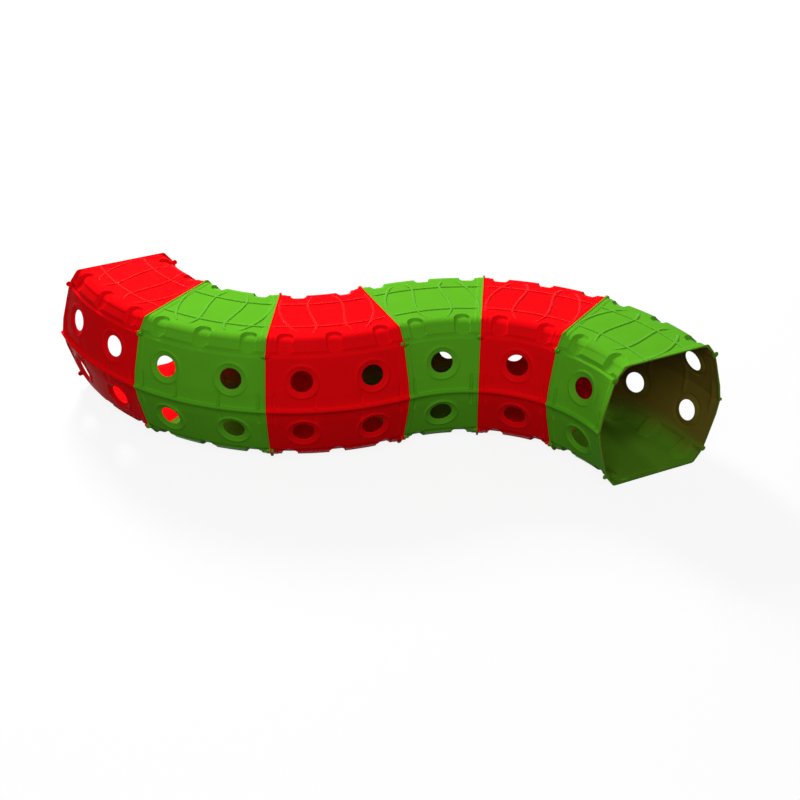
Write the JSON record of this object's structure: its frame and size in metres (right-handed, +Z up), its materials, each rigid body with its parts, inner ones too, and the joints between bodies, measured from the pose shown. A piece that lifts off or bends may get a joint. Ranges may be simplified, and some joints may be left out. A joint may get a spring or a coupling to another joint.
{
  "type": "kids play tunnel",
  "caption": "S-shaped crawl tunnel for children: moulded plastic bends in red and green, with portholes and pressed scoops, bolted end to end",
  "frame": {"origin": "on the floor under the middle joint, at the centre of the footprint", "axes": "X along the line from the first mouth to the last, Z up, Y across"},
  "size_m": [3.145, 1.2216, 0.633],
  "materials": {
    "red_plastic": "smooth rotomoulded polyethylene, soft gloss",
    "green_plastic": "smooth rotomoulded polyethylene, soft gloss"
  },
  "bodies": {
    "root": {"upper_shell_1": "red_plastic", "lower_shell_1": "red_plastic", "upper_shell_2": "green_plastic", "lower_shell_2": "green_plastic", "upper_shell_3": "red_plastic", "lower_shell_3": "red_plastic", "upper_shell_4": "green_plastic", "lower_shell_4": "green_plastic", "upper_shell_5": "red_plastic", "lower_shell_5": "red_plastic", "upper_shell_6": "green_plastic", "lower_shell_6": "green_plastic", "joint_1_bolt_upper_left": "red_plastic", "joint_1_bolt_upper_right": "red_plastic", "joint_1_bolt_lower_left": "red_plastic", "joint_1_bolt_lower_right": "red_plastic", "joint_1_nut_upper_left": "green_plastic", "joint_1_nut_upper_right": "green_plastic", "joint_1_nut_lower_left": "green_plastic", "joint_1_nut_lower_right": "green_plastic", "joint_2_bolt_upper_left": "green_plastic", "joint_2_bolt_upper_right": "green_plastic", "joint_2_bolt_lower_left": "green_plastic", "joint_2_bolt_lower_right": "green_plastic", "joint_2_nut_upper_left": "red_plastic", "joint_2_nut_upper_right": "red_plastic", "joint_2_nut_lower_left": "red_plastic", "joint_2_nut_lower_right": "green_plastic", "joint_3_bolt_upper_left": "red_plastic", "joint_3_bolt_upper_right": "green_plastic", "joint_3_bolt_lower_left": "red_plastic", "joint_3_bolt_lower_right": "red_plastic", "joint_3_nut_upper_left": "green_plastic", "joint_3_nut_upper_right": "green_plastic", "joint_3_nut_lower_left": "green_plastic", "joint_3_nut_lower_right": "green_plastic", "joint_4_bolt_upper_left": "green_plastic", "joint_4_bolt_upper_right": "green_plastic", "joint_4_bolt_lower_left": "green_plastic", "joint_4_bolt_lower_right": "green_plastic", "joint_4_nut_upper_left": "red_plastic", "joint_4_nut_upper_right": "red_plastic", "joint_4_nut_lower_left": "red_plastic", "joint_4_nut_lower_right": "red_plastic", "joint_5_bolt_upper_left": "red_plastic", "joint_5_bolt_upper_right": "red_plastic", "joint_5_bolt_lower_left": "red_plastic", "joint_5_bolt_lower_right": "red_plastic", "joint_5_nut_upper_left": "green_plastic", "joint_5_nut_upper_right": "green_plastic", "joint_5_nut_lower_left": "green_plastic", "joint_5_nut_lower_right": "green_plastic"}
  },
  "joints": []
}
